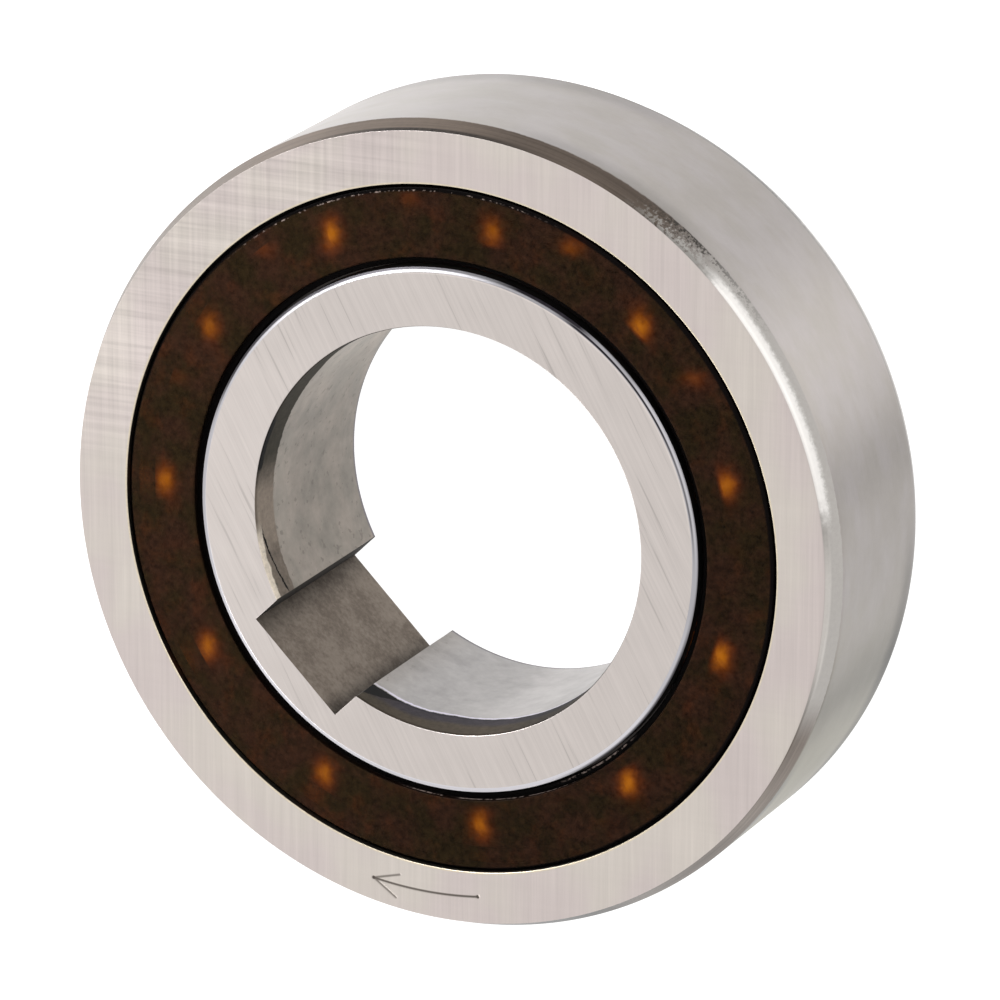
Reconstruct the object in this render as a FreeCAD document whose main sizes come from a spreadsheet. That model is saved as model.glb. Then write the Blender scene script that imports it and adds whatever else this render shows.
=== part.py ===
"""A sprag clutch in a ball bearing's envelope, 40 x 80 x 22 mm, with a keyway in its bore.

Balls and sprags share one row and one moulded cage. The balls carry the load in shallow grooves.
The sprags stand between them on the plain track either side of the groove, and wedge when the inner
ring turns clockwise, seen from the marked face. Turned anticlockwise the inner ring runs free.

The frame: +Z is the bore's axis and points out of the marked face, the origin is the middle of the
bore, and the keyway lies along +Y. Lengths are in millimetres and angles in degrees.
"""

import FreeCAD, Part
import math
import os

import Sketcher

SIZES = (
    # alias, value, what it is
    ("bore_diameter", 40.0, "shaft bore of the inner ring"),
    ("inner_wall", 6.5, "bore to the plain track that the sprags' feet run on"),
    ("track_gap", 7.0, "that track to the outer ring's, which the sprags' heads run on"),
    ("outer_wall", 6.5, "outer track to the outside diameter"),
    ("ring_width", 22.0, "both rings, face to face"),
    ("outer_chamfer_radial", 0.8, "lead-in of the outside diameter, along the face"),
    ("outer_chamfer_axial", 2.0, "lead-in of the outside diameter, along the axis"),
    ("bore_chamfer_radial", 0.4, "lead-in of the bore, along the face"),
    ("bore_chamfer_axial", 1.6, "lead-in of the bore, along the axis"),
    ("edge_break", 0.2, "ground-off corner where a ring's face meets a step"),
    ("keyway_width", 12.0, "keyway in the bore"),
    ("keyway_depth", 2.5, "keyway floor, below the bore at the keyway's middle"),
    ("ball_diameter", 7.938, "5/16 inch ball"),
    ("ball_count", 11, "balls, and as many sprags between them"),
    ("ball_play", 0.05, "gap between a ball and each groove"),
    ("groove_radius", 4.13, "cross-section radius of both ball grooves"),
    ("cage_angle", 11.5, "where the first ball stands, from +X towards +Y"),
    ("sprag_head_width", 5.0, "sprag across its head"),
    ("sprag_foot_width", 4.4, "sprag across its foot"),
    ("sprag_head_radius", 4.6, "cam arc that meets the outer track"),
    ("sprag_foot_radius", 3.9, "cam arc that meets the inner track"),
    ("sprag_shoulder", 0.9, "straight side below the head and above the foot"),
    ("sprag_waist_radius", 3.4, "hollow of the sprag's flanks"),
    ("strut_angle", 4.0, "lean of the line between a sprag's two contacts, at the inner track"),
    ("sprag_play", 0.04, "gap between a sprag and each track"),
    ("spring_seat_height", 1.3, "crown that a garter spring presses on, above the sprag's middle"),
    ("spring_seat_radius", 3.0, "that crown's radius"),
    ("spring_seat_shift", 0.5, "that crown's middle, to the side that stands the sprag up"),
    ("spring_coil_diameter", 1.1, "outside of the garter springs' coils"),
    ("spring_side_play", 0.15, "notch for a garter spring, wider than the coils by this"),
    ("spring_seat_play", 0.08, "gap under a garter spring"),
    ("cage_inner_gap", 1.2, "inner track to the cage"),
    ("cage_outer_gap", 1.1, "outer track to the cage"),
    ("cage_end_gap", 1.15, "cage to each shield's back"),
    ("cage_rim_width", 1.6, "closed front rim of the cage"),
    ("nub_height", 0.9, "rounded nubs on that rim, one over each ball, which meet the shield first"),
    ("nub_radius", 2.25, "the nubs' rounding"),
    ("pocket_play", 0.12, "gap round a ball in its pocket"),
    ("mouth_snap", 0.32, "lip each side of a pocket's mouth that the ball snaps past"),
    ("window_play", 0.4, "gap either side of a sprag's head in its window"),
    ("window_end_play", 0.15, "gap at each end of a sprag in its window"),
    ("end_ring_width", 1.6, "ring that closes the open side of the cage"),
    ("tongue_length", 1.6, "tongues of that ring, which plug the pockets' mouths"),
    ("tongue_play", 0.02, "gap each side of a tongue"),
    ("tongue_wall", 0.4, "tongue set in from the cage's inside and outside"),
    ("shield_seat_step", 0.55, "shield's seat in the outer ring, beyond the outer track"),
    ("shield_seat_depth", 1.6, "shoulder under the shield, below the ring's face"),
    ("shield_recess", 0.25, "shield's front, below the ring's face"),
    ("shield_flange", 0.7, "thickness of the shield's rim and inner lip"),
    ("shield_moat", 0.3, "gap between the raised front and the outer ring"),
    ("shield_lip", 0.6, "inner lip, from its edge to the raised front"),
    ("shield_round", 0.15, "softened edges of the raised front"),
    ("snap_depth", 0.55, "snap groove in the outer ring, beyond the shield's seat"),
    ("snap_play", 0.1, "gap between the shield's rim and the snap groove"),
    ("seal_land_step", 0.5, "inner ring's land beside the shield, below the inner track"),
    ("seal_land_play", 0.4, "gap between the shield's lip and the shoulder of that land"),
    ("land_chamfer", 0.45, "bevel between the inner ring's face and that land"),
    ("dust_gap", 0.25, "running gap between the shield and the inner ring"),
)

# Sides of the polygon that stands for a garter spring's round coils.
SPRING_SIDES = 8

doc = FreeCAD.newDocument("SpragClutch")
sheet = doc.addObject("Spreadsheet::Sheet", "Sizes")
for row, (alias, size, meaning) in enumerate(SIZES, 1):
    sheet.set(f"A{row}", alias)
    sheet.set(f"B{row}", str(size))
    sheet.set(f"C{row}", meaning)
    sheet.setAlias(f"B{row}", alias)
doc.recompute()

# Lengths that several pieces share, as expressions on the sheet. Tracks and seats are radii, and
# heights are from the bearing's middle plane.
BORE = "Sizes.bore_diameter / 2"
INNER_TRACK = f"({BORE} + Sizes.inner_wall)"
OUTER_TRACK = f"({INNER_TRACK} + Sizes.track_gap)"
OUTSIDE = f"({OUTER_TRACK} + Sizes.outer_wall)"
PITCH = f"({INNER_TRACK} + Sizes.track_gap / 2)"
HALF_WIDTH = "Sizes.ring_width / 2"
BALL = "Sizes.ball_diameter / 2"
STEP = "360 deg / Sizes.ball_count"
SHIELD_SEAT = f"({OUTER_TRACK} + Sizes.shield_seat_step)"
SEAT_HEIGHT = f"({HALF_WIDTH} - Sizes.shield_seat_depth)"
SEAL_LAND = f"({INNER_TRACK} - Sizes.seal_land_step)"
WINDOW_END = f"({SEAT_HEIGHT} - Sizes.cage_end_gap - Sizes.cage_rim_width)"
SPRAG_END = f"({WINDOW_END} - Sizes.window_end_play)"
NOTCH_WIDTH = "(Sizes.spring_coil_diameter + Sizes.spring_side_play)"
NOTCH_START = f"({SPRAG_END} - {NOTCH_WIDTH})"
NOTCH_FLOOR = f"({PITCH} + Sizes.spring_seat_height)"
MOUTH = f"({BALL} + Sizes.pocket_play - Sizes.mouth_snap)"
CAGE_INSIDE = f"({INNER_TRACK} + Sizes.cage_inner_gap)"
CAGE_OUTSIDE = f"({OUTER_TRACK} - Sizes.cage_outer_gap)"
# A sprag's contacts with the tracks stand this far either side of its own radius, as an angle.
HALF_SPREAD = (
    f"(Sizes.strut_angle * 1 deg - asin({INNER_TRACK} / {OUTER_TRACK}"
    " * sin(Sizes.strut_angle * 1 deg))) / 2"
)


def value(expression):
    """The number that an expression on the sheet gives."""
    result = sheet.evalExpression(expression)
    return float(getattr(result, "Value", result))


def bind(item, name, expression):
    """Ties a property, or a named constraint of a sketch, to the sheet."""
    item.setExpression(name, expression)


def new_body(label):
    body = doc.addObject("PartDesign::Body", label)
    body.Label = label
    return body


def origin_plane(body, role):
    return next(item for item in body.Origin.OriginFeatures if item.Role == role)


def new_sketch(body, name, role):
    sketch = body.newObject("Sketcher::SketchObject", name)
    sketch.AttachmentSupport = (origin_plane(body, role), [""])
    sketch.MapMode = "FlatFace"
    return sketch


def dimension(sketch, kind, where, expression):
    """Adds one dimension, of which the expression gives the size."""
    number = sketch.addConstraint(Sketcher.Constraint(kind, *where, value(expression)))
    name = f"size_{number}"
    sketch.renameConstraint(number, name)
    bind(sketch, f"Constraints.{name}", expression)


def place_point(sketch, geometry, end, across, up):
    """Fixes one point of a sketch at (across, up) from the sketch's origin."""
    for kind, axis, expression in (("DistanceX", -2, across), ("DistanceY", -1, up)):
        if expression is None:
            sketch.addConstraint(Sketcher.Constraint("PointOnObject", geometry, end, axis))
        elif value(expression) > 0:
            dimension(sketch, kind, (-1, 1, geometry, end), expression)
        else:
            dimension(sketch, kind, (geometry, end, -1, 1), f"-({expression})")


def add_outline(sketch, points):
    """Draws a closed outline of straight lines. A coordinate of None lies on the sketch's axis."""
    first = sketch.GeometryCount
    places = [
        FreeCAD.Vector(*(0 if part is None else value(part) for part in point), 0) for point in points
    ]
    for start, end in zip(places, places[1:] + places[:1]):
        sketch.addGeometry(Part.LineSegment(start, end), False)
    for number, point in enumerate(points):
        before = first + (number - 1) % len(points)
        here = first + number
        sketch.addConstraint(Sketcher.Constraint("Coincident", before, 2, here, 1))
        place_point(sketch, here, 1, *point)


def add_circle(sketch, across, up, radius):
    """Draws a circle of which the centre and the radius follow the sheet."""
    centre = FreeCAD.Vector(*(0 if part is None else value(part) for part in (across, up)), 0)
    number = sketch.addGeometry(Part.Circle(centre, FreeCAD.Vector(0, 0, 1), value(radius)), False)
    place_point(sketch, number, 3, across, up)
    dimension(sketch, "Radius", (number,), radius)


def feature(body, kind, name, sketch, **settings):
    item = body.newObject(f"PartDesign::{kind}", name)
    item.Profile = sketch
    for setting, wanted in settings.items():
        setattr(item, setting, wanted)
    sketch.Visibility = False
    return item


def revolve(body, name, sketch, kind="Revolution"):
    """Turns a sketch of the half-section about the bearing's axis."""
    return feature(body, kind, name, sketch, ReferenceAxis=(sketch, ["V_Axis"]), Angle=360.0)


def mirror_about_middle(body, name, original):
    """Repeats the marked side's half on the other side of the bearing's middle plane."""
    item = body.newObject("PartDesign::Mirrored", name)
    item.Originals = [original]
    item.MirrorPlane = (origin_plane(body, "XY_Plane"), [""])
    body.Tip = item
    return item


def repeat_round(body, name, originals):
    """Repeats features round the bearing's axis, once for each ball."""
    item = body.newObject("PartDesign::PolarPattern", name)
    item.Originals = originals
    item.Axis = (next(a for a in body.Origin.OriginFeatures if a.Role == "Z_Axis"), [""])
    item.Angle = 360.0
    bind(item, "Occurrences", "Sizes.ball_count")
    body.Tip = item
    return item


def turn_about_axis(item, angle):
    """Stands a piece that was drawn at the top of the bearing, on +Y, at another angle."""
    item.Placement = FreeCAD.Placement(FreeCAD.Vector(), FreeCAD.Rotation(FreeCAD.Vector(0, 0, 1), 1))
    bind(item, "Placement.Rotation.Angle", angle)


def cut_ball_groove(body, bottom_from_axis, side):
    """Turns a ball groove whose bottom is that far from the axis. side is 1 for the inner ring."""
    sketch = new_sketch(body, f"{body.Name}_groove_sketch", "XZ_Plane")
    centre = f"{bottom_from_axis} + {side} * Sizes.groove_radius"
    add_circle(sketch, centre, None, "Sizes.groove_radius")
    return revolve(body, f"{body.Name}_groove", sketch, "Groove")


def make_outer_ring():
    body = new_body("outer_ring")
    snap = f"{SHIELD_SEAT} + Sizes.snap_depth"
    snap_top = f"{SEAT_HEIGHT} + Sizes.shield_flange + Sizes.snap_play"
    sketch = new_sketch(body, "outer_half_section", "XZ_Plane")
    add_outline(
        sketch,
        (
            (OUTER_TRACK, None),
            (OUTSIDE, None),
            (OUTSIDE, f"{HALF_WIDTH} - Sizes.outer_chamfer_axial"),
            (f"{OUTSIDE} - Sizes.outer_chamfer_radial", HALF_WIDTH),
            (f"{SHIELD_SEAT} + Sizes.edge_break", HALF_WIDTH),
            (SHIELD_SEAT, f"{HALF_WIDTH} - Sizes.edge_break"),
            (SHIELD_SEAT, snap_top),
            (snap, snap_top),
            (snap, SEAT_HEIGHT),
            (OUTER_TRACK, SEAT_HEIGHT),
        ),
    )
    half = revolve(body, "outer_half", sketch)
    mirror_about_middle(body, "outer_both_sides", half)
    body.Tip = cut_ball_groove(body, f"{PITCH} + {BALL} + Sizes.ball_play", -1)
    return body


def make_inner_ring():
    body = new_body("inner_ring")
    lead_in = f"{BORE} + Sizes.bore_chamfer_radial"
    step_height = f"{SEAT_HEIGHT} - Sizes.seal_land_play"
    sketch = new_sketch(body, "inner_half_section", "XZ_Plane")
    add_outline(
        sketch,
        (
            (BORE, None),
            (INNER_TRACK, None),
            (INNER_TRACK, step_height),
            (SEAL_LAND, step_height),
            (SEAL_LAND, f"{HALF_WIDTH} - Sizes.land_chamfer"),
            (f"{SEAL_LAND} - Sizes.land_chamfer", HALF_WIDTH),
            (f"{lead_in} + Sizes.edge_break", HALF_WIDTH),
            (lead_in, f"{HALF_WIDTH} - Sizes.edge_break"),
            (BORE, f"{HALF_WIDTH} - Sizes.bore_chamfer_axial"),
        ),
    )
    half = revolve(body, "inner_half", sketch)
    mirror_about_middle(body, "inner_both_sides", half)
    body.Tip = cut_ball_groove(body, f"{PITCH} - {BALL} - Sizes.ball_play", 1)
    keyway = new_sketch(body, "keyway_section", "XY_Plane")
    side = "Sizes.keyway_width / 2"
    floor = f"{BORE} + Sizes.keyway_depth"
    add_outline(keyway, ((side, None), (side, floor), (f"-{side}", floor), (f"-{side}", None)))
    body.Tip = feature(body, "Pocket", "keyway", keyway, Type="ThroughAll", Midplane=True)
    return body


def make_shield(label):
    """A moulded ring that snaps into the outer ring and clears the inner ring by the dust gap."""
    body = new_body(label)
    rim = f"{SHIELD_SEAT} + Sizes.snap_depth - Sizes.snap_play"
    flange_top = f"{SEAT_HEIGHT} + Sizes.shield_flange"
    front = f"{HALF_WIDTH} - Sizes.shield_recess"
    front_outer = f"{SHIELD_SEAT} - Sizes.shield_moat"
    lip = f"{SEAL_LAND} + Sizes.dust_gap"
    front_inner = f"{lip} + Sizes.shield_lip"
    sketch = new_sketch(body, f"{label}_section", "XZ_Plane")
    add_outline(
        sketch,
        (
            (lip, SEAT_HEIGHT),
            (rim, SEAT_HEIGHT),
            (rim, f"{flange_top} - Sizes.snap_depth / 2"),
            (f"{rim} - Sizes.snap_depth / 2", flange_top),
            (front_outer, flange_top),
            (front_outer, f"{front} - Sizes.shield_round"),
            (f"{front_outer} - Sizes.shield_round", front),
            (f"{front_inner} + Sizes.shield_round", front),
            (front_inner, f"{front} - Sizes.shield_round"),
            (front_inner, flange_top),
            (lip, flange_top),
        ),
    )
    body.Tip = revolve(body, f"{label}_ring", sketch)
    return body


def turn_over(item):
    """Puts a piece of the marked side on the other side of the bearing."""
    item.Placement = FreeCAD.Placement(
        FreeCAD.Vector(), FreeCAD.Rotation(FreeCAD.Vector(1, 0, 0), 180)
    )


def draw_nub(body, rim_top):
    """Raises one rounded nub on the cage's front rim, over the ball at the top of the bearing."""
    sketch = new_sketch(body, "nub_section", "YZ_Plane")
    bind(sketch, "AttachmentOffset.Base.x", PITCH)
    top = f"({rim_top} + Sizes.nub_height)"
    base = f"({rim_top} - Sizes.cage_rim_width / 4)"
    radius = value("Sizes.nub_radius")
    centre_height = value(top) - radius
    circle = Part.Circle(FreeCAD.Vector(0, centre_height, 0), FreeCAD.Vector(0, 0, 1), radius)
    arc = Part.ArcOfCircle(circle, math.asin((value(base) - centre_height) / radius), math.pi / 2)
    cap = sketch.addGeometry(arc, False)
    foot = FreeCAD.Vector(0, value(base), 0)
    axis = sketch.addGeometry(Part.LineSegment(arc.EndPoint, foot), False)
    floor = sketch.addGeometry(Part.LineSegment(foot, arc.StartPoint), False)
    for pair in ((cap, 2, axis, 1), (axis, 2, floor, 1), (floor, 2, cap, 1)):
        sketch.addConstraint(Sketcher.Constraint("Coincident", *pair))
    for point in ((cap, 3), (axis, 1), (axis, 2)):
        sketch.addConstraint(Sketcher.Constraint("PointOnObject", *point, -2))
    sketch.addConstraint(Sketcher.Constraint("Horizontal", floor))
    dimension(sketch, "Radius", (cap,), "Sizes.nub_radius")
    dimension(sketch, "DistanceY", (-1, 1, axis, 1), top)
    dimension(sketch, "DistanceY", (-1, 1, axis, 2), base)
    return revolve(body, "nub", sketch)


def make_cage():
    """The moulded cage: a closed front rim, and pockets for balls and sprags open to the rear.

    The pockets are cut at the top of the bearing and repeated round it. A ball's pocket is a round
    hole along the radius, whose mouth is narrower than the ball. A sprag's window is half a step on.
    """
    body = new_body("cage")
    rim_top = f"{WINDOW_END} + Sizes.cage_rim_width"
    section = new_sketch(body, "cage_section", "XZ_Plane")
    add_outline(
        section,
        (
            (CAGE_INSIDE, f"-{WINDOW_END}"),
            (NOTCH_FLOOR, f"-{WINDOW_END}"),
            (NOTCH_FLOOR, f"-{NOTCH_START}"),
            (CAGE_OUTSIDE, f"-{NOTCH_START}"),
            (CAGE_OUTSIDE, NOTCH_START),
            (NOTCH_FLOOR, NOTCH_START),
            (NOTCH_FLOOR, WINDOW_END),
            (CAGE_OUTSIDE, WINDOW_END),
            (CAGE_OUTSIDE, rim_top),
            (CAGE_INSIDE, rim_top),
        ),
    )
    revolve(body, "cage_blank", section)
    nub = draw_nub(body, rim_top)

    def cut_outwards(name, sketch):
        cut = feature(body, "Pocket", name, sketch)
        bind(cut, "Length", OUTER_TRACK)
        return cut

    pocket = new_sketch(body, "ball_pocket_section", "XZ_Plane")
    add_circle(pocket, None, None, f"{BALL} + Sizes.pocket_play")
    mouth = new_sketch(body, "mouth_section", "XZ_Plane")
    below = f"-({WINDOW_END} + Sizes.end_ring_width)"
    add_outline(mouth, ((MOUTH, None), (f"-{MOUTH}", None), (f"-{MOUTH}", below), (MOUTH, below)))
    window = new_sketch(body, "window_section", "XZ_Plane")
    window.AttachmentOffset = FreeCAD.Placement(
        FreeCAD.Vector(), FreeCAD.Rotation(FreeCAD.Vector(0, 1, 0), 1)
    )
    bind(window, "AttachmentOffset.Rotation.Angle", f"{STEP} / 2")
    side = "(Sizes.sprag_head_width / 2 + Sizes.window_play)"
    add_outline(window, ((side, WINDOW_END), (f"-{side}", WINDOW_END), (f"-{side}", below), (side, below)))
    cuts = [
        cut_outwards("ball_pocket", pocket),
        cut_outwards("pocket_mouth", mouth),
        cut_outwards("sprag_window", window),
    ]
    repeat_round(body, "all_pockets", [nub, *cuts])
    turn_about_axis(body, "Sizes.cage_angle * 1 deg - 90 deg")
    return body


def make_end_ring():
    """The ring that closes the cage's open side. Its tongues plug the mouths of the ball pockets."""
    body = new_body("cage_end_ring")
    ring = new_sketch(body, "end_ring_section", "XY_Plane")
    add_circle(ring, None, None, CAGE_OUTSIDE)
    add_circle(ring, None, None, CAGE_INSIDE)
    bind(ring, "AttachmentOffset.Base.z", f"-{WINDOW_END}")
    pad = feature(body, "Pad", "end_ring_pad", ring, Reversed=True)
    bind(pad, "Length", "Sizes.end_ring_width")
    tongue = new_sketch(body, "tongue_section", "XY_Plane")
    side = f"({MOUTH} - Sizes.tongue_play)"
    inside = f"{CAGE_INSIDE} + Sizes.tongue_wall"
    outside = f"{NOTCH_FLOOR} - Sizes.tongue_wall"
    add_outline(tongue, ((side, inside), (side, outside), (f"-{side}", outside), (f"-{side}", inside)))
    bind(tongue, "AttachmentOffset.Base.z", f"-({WINDOW_END} + Sizes.end_ring_width / 2)")
    tongue_pad = feature(body, "Pad", "tongue", tongue)
    bind(tongue_pad, "Length", "Sizes.tongue_length + Sizes.end_ring_width / 2")
    repeat_round(body, "all_tongues", [tongue_pad])
    turn_about_axis(body, "Sizes.cage_angle * 1 deg - 90 deg")
    return body


def make_ball(number):
    ball = doc.addObject("Part::Sphere", f"ball_{number:02d}")
    ball.Label = f"ball_{number:02d}"
    bind(ball, "Radius", BALL)
    angle = f"(Sizes.cage_angle * 1 deg + {number - 1} * {STEP})"
    bind(ball, "Placement.Base.x", f"{PITCH} * cos({angle})")
    bind(ball, "Placement.Base.y", f"{PITCH} * sin({angle})")
    return ball


def draw_sprag(sketch):
    """Draws a sprag as it stands at the top of the bearing.

    Head and foot are arcs whose centres lie on the radii of their own contacts, so that the line
    between the contacts leans by the strut angle. Turning the sprag anticlockwise stands that line
    up and makes the sprag taller. The flanks are hollowed arcs between short straight shoulders.
    """
    head_centre = f"({OUTER_TRACK} - Sizes.sprag_play - Sizes.sprag_head_radius)"
    foot_centre = f"({INNER_TRACK} + Sizes.sprag_play + Sizes.sprag_foot_radius)"
    arcs = (
        (head_centre, "Sizes.sprag_head_radius", "Sizes.sprag_head_width / 2", 1),
        (foot_centre, "Sizes.sprag_foot_radius", "Sizes.sprag_foot_width / 2", -1),
    )
    ends = []
    for reach, radius, half, way in arcs:
        across = f"{way} * {reach} * sin({HALF_SPREAD})"
        up = f"{reach} * cos({HALF_SPREAD})"
        centre = FreeCAD.Vector(value(across), value(up), 0)
        opening = math.asin(value(half) / value(radius))
        middle = way * math.pi / 2
        circle = Part.Circle(centre, FreeCAD.Vector(0, 0, 1), value(radius))
        arc = Part.ArcOfCircle(circle, middle - opening, middle + opening)
        number = sketch.addGeometry(arc, False)
        place_point(sketch, number, 3, across, up)
        dimension(sketch, "Radius", (number,), radius)
        for end, side in ((1, way), (2, -way)):
            kind = "DistanceX"
            where = (-1, 1, number, end) if side > 0 else (number, end, -1, 1)
            dimension(sketch, kind, where, half)
        ends.append((number, arc.StartPoint, arc.EndPoint))
    (head, head_right, head_left), (foot, foot_left, foot_right) = ends
    down = FreeCAD.Vector(0, -value("Sizes.sprag_shoulder"), 0)
    sides = (
        (head, 1, head_right, foot, 2, foot_right, 1),
        (head, 2, head_left, foot, 1, foot_left, -1),
    )
    for top_arc, top_end, top, low_arc, low_end, low, side in sides:
        upper = sketch.addGeometry(Part.LineSegment(top, top + down), False)
        lower = sketch.addGeometry(Part.LineSegment(low - down, low), False)
        middle = (top + low) * 0.5 - FreeCAD.Vector(side * 0.5, 0, 0)
        flank = Part.ArcOfCircle(*((top + down, middle, low - down)[::side]))
        hollow = sketch.addGeometry(flank, False)
        hollow_top, hollow_low = (1, 2) if flank.StartPoint.y > flank.EndPoint.y else (2, 1)
        for pair in (
            (top_arc, top_end, upper, 1),
            (upper, 2, hollow, hollow_top),
            (hollow, hollow_low, lower, 1),
            (lower, 2, low_arc, low_end),
        ):
            sketch.addConstraint(Sketcher.Constraint("Coincident", *pair))
        for line in (upper, lower):
            sketch.addConstraint(Sketcher.Constraint("Vertical", line))
            dimension(sketch, "DistanceY", (line, 2, line, 1), "Sizes.sprag_shoulder")
        dimension(sketch, "Radius", (hollow,), "Sizes.sprag_waist_radius")


def draw_spring_seat(sketch):
    """Draws what is cut off a sprag's end above the crown that the garter spring presses on."""
    crown = f"({NOTCH_FLOOR} - Sizes.spring_seat_radius)"
    base = f"({PITCH} - Sizes.spring_seat_height / 2)"
    centre = FreeCAD.Vector(-value("Sizes.spring_seat_shift"), value(crown), 0)
    radius = value("Sizes.spring_seat_radius")
    opening = math.acos((value(base) - value(crown)) / radius)
    circle = Part.Circle(centre, FreeCAD.Vector(0, 0, 1), radius)
    up = math.pi / 2
    arc = Part.ArcOfCircle(circle, up - opening, up + opening)
    number = sketch.addGeometry(arc, False)
    place_point(sketch, number, 3, "-Sizes.spring_seat_shift", crown)
    dimension(sketch, "Radius", (number,), "Sizes.spring_seat_radius")
    wide = "Sizes.sprag_head_width"
    corners = (
        (None, arc.StartPoint),
        ((wide, base), FreeCAD.Vector(value(wide), value(base), 0)),
        ((wide, OUTER_TRACK), FreeCAD.Vector(value(wide), value(OUTER_TRACK), 0)),
        ((f"-{wide}", OUTER_TRACK), FreeCAD.Vector(-value(wide), value(OUTER_TRACK), 0)),
        ((f"-{wide}", base), FreeCAD.Vector(-value(wide), value(base), 0)),
        (None, arc.EndPoint),
    )
    before, before_end = number, 1
    for (place, start), (_, end) in zip(corners, corners[1:]):
        line = sketch.addGeometry(Part.LineSegment(start, end), False)
        sketch.addConstraint(Sketcher.Constraint("Coincident", before, before_end, line, 1))
        if place:
            place_point(sketch, line, 1, *place)
        before, before_end = line, 2
    sketch.addConstraint(Sketcher.Constraint("Coincident", before, 2, number, 2))
    for line in (number + 1, before):
        sketch.addConstraint(Sketcher.Constraint("Horizontal", line))


def make_sprag(number):
    label = f"sprag_{number:02d}"
    body = new_body(label)
    section = new_sketch(body, f"{label}_section", "XY_Plane")
    draw_sprag(section)
    pad = feature(body, "Pad", f"{label}_pad", section, Midplane=True)
    bind(pad, "Length", f"2 * {SPRAG_END}")
    seat = new_sketch(body, f"{label}_seat_section", "XY_Plane")
    bind(seat, "AttachmentOffset.Base.z", NOTCH_START)
    draw_spring_seat(seat)
    notch = feature(body, "Pocket", f"{label}_notch", seat, Reversed=True)
    bind(notch, "Length", SPRAG_END)
    mirror_about_middle(body, f"{label}_both_notches", notch)
    turn_about_axis(body, f"Sizes.cage_angle * 1 deg + ({number} - 0.5) * {STEP} - 90 deg")
    return body


def make_garter_spring(label, side):
    """The outer shape of a coil spring joined end to end, round the notches in the sprags.

    Its section is a regular polygon that stands on a flat side.
    """
    body = new_body(label)
    section = new_sketch(body, f"{label}_section", "XZ_Plane")
    coil = "Sizes.spring_coil_diameter / 2"
    across = f"{NOTCH_FLOOR} + Sizes.spring_seat_play + {coil}"
    up = f"{side} * ({NOTCH_START} + {NOTCH_WIDTH} / 2)"
    corners = []
    for corner in range(SPRING_SIDES):
        turn = f"{(corner + 0.5) * 360 / SPRING_SIDES} deg"
        reach = f"{coil} / cos({180 / SPRING_SIDES} deg)"
        corners.append((f"{across} + {reach} * cos({turn})", f"{up} + {reach} * sin({turn})"))
    add_outline(section, corners)
    body.Tip = revolve(body, f"{label}_ring", section)
    return body


pieces = [make_outer_ring(), make_inner_ring(), make_shield("front_shield")]
rear_shield = make_shield("rear_shield")
turn_over(rear_shield)
pieces += [rear_shield, make_cage(), make_end_ring()]
pieces += [make_garter_spring("front_garter_spring", 1), make_garter_spring("rear_garter_spring", -1)]
for number in range(1, int(value("Sizes.ball_count")) + 1):
    pieces += [make_ball(number), make_sprag(number)]
doc.recompute()

for item in doc.Objects:
    if "Invalid" in item.State or "Error" in item.State:
        raise RuntimeError(f"{item.Name} did not build: {item.State}")
for piece in pieces:
    if piece.Shape.isNull() or not piece.Shape.isValid() or not piece.Shape.Solids:
        raise RuntimeError(f"{piece.Label} is not a valid solid")

os.makedirs("parts", exist_ok=True)
for piece in pieces:
    piece.Shape.exportStep(f"parts/{piece.Label}.step")
    print(piece.Label, len(piece.Shape.Solids), round(piece.Shape.Volume, 2), piece.Shape.BoundBox)
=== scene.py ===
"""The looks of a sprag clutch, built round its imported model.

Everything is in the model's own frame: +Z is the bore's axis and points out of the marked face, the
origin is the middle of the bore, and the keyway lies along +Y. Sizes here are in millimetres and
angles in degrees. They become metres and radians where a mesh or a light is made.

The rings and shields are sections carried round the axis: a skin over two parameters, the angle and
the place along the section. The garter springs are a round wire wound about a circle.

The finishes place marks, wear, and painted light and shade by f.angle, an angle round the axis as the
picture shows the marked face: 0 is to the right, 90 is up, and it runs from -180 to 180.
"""

import math

import bpy
import numpy as np
from mathutils import Matrix, Vector


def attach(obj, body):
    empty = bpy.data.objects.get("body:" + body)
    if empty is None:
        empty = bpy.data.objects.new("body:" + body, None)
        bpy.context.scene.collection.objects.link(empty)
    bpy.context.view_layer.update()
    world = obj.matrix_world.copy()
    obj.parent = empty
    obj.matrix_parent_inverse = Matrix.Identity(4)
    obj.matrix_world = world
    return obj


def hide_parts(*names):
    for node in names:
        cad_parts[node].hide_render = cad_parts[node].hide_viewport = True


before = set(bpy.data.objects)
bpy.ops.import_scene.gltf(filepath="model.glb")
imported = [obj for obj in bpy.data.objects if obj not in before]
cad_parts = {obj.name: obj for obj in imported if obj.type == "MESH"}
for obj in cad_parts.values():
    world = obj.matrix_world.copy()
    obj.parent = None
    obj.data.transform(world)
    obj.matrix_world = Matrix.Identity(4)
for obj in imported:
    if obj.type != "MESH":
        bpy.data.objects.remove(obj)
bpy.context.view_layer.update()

MM = 0.001

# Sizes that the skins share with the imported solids.
BORE = 20.0
INNER_TRACK = 26.5
OUTER_TRACK = 33.5
OUTSIDE = 40.0
FACE = 11.0
PITCH = 30.0
BALL = 7.938 / 2
BALL_PLAY = 0.05
GROOVE = 4.13
LEAD_IN_START = 9.0
LEAD_IN_EDGE = 39.2
SEAT_HEIGHT = 9.4
SHIELD_SEAT = 34.05
SNAP_GROOVE = 34.6
SNAP_TOP = 10.2
SEAL_LAND = 26.0
LAND_FLOOR = 9.0
KEYWAY_HALF = 6.0
KEYWAY_FLOOR = 22.5
COUNT = 11
CAGE_ANGLE = 11.5
CAGE_INSIDE = 27.7
NUB_TOP = 9.15
SPRING_CIRCLE = 31.93
SPRING_HEIGHT = 5.875

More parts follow.
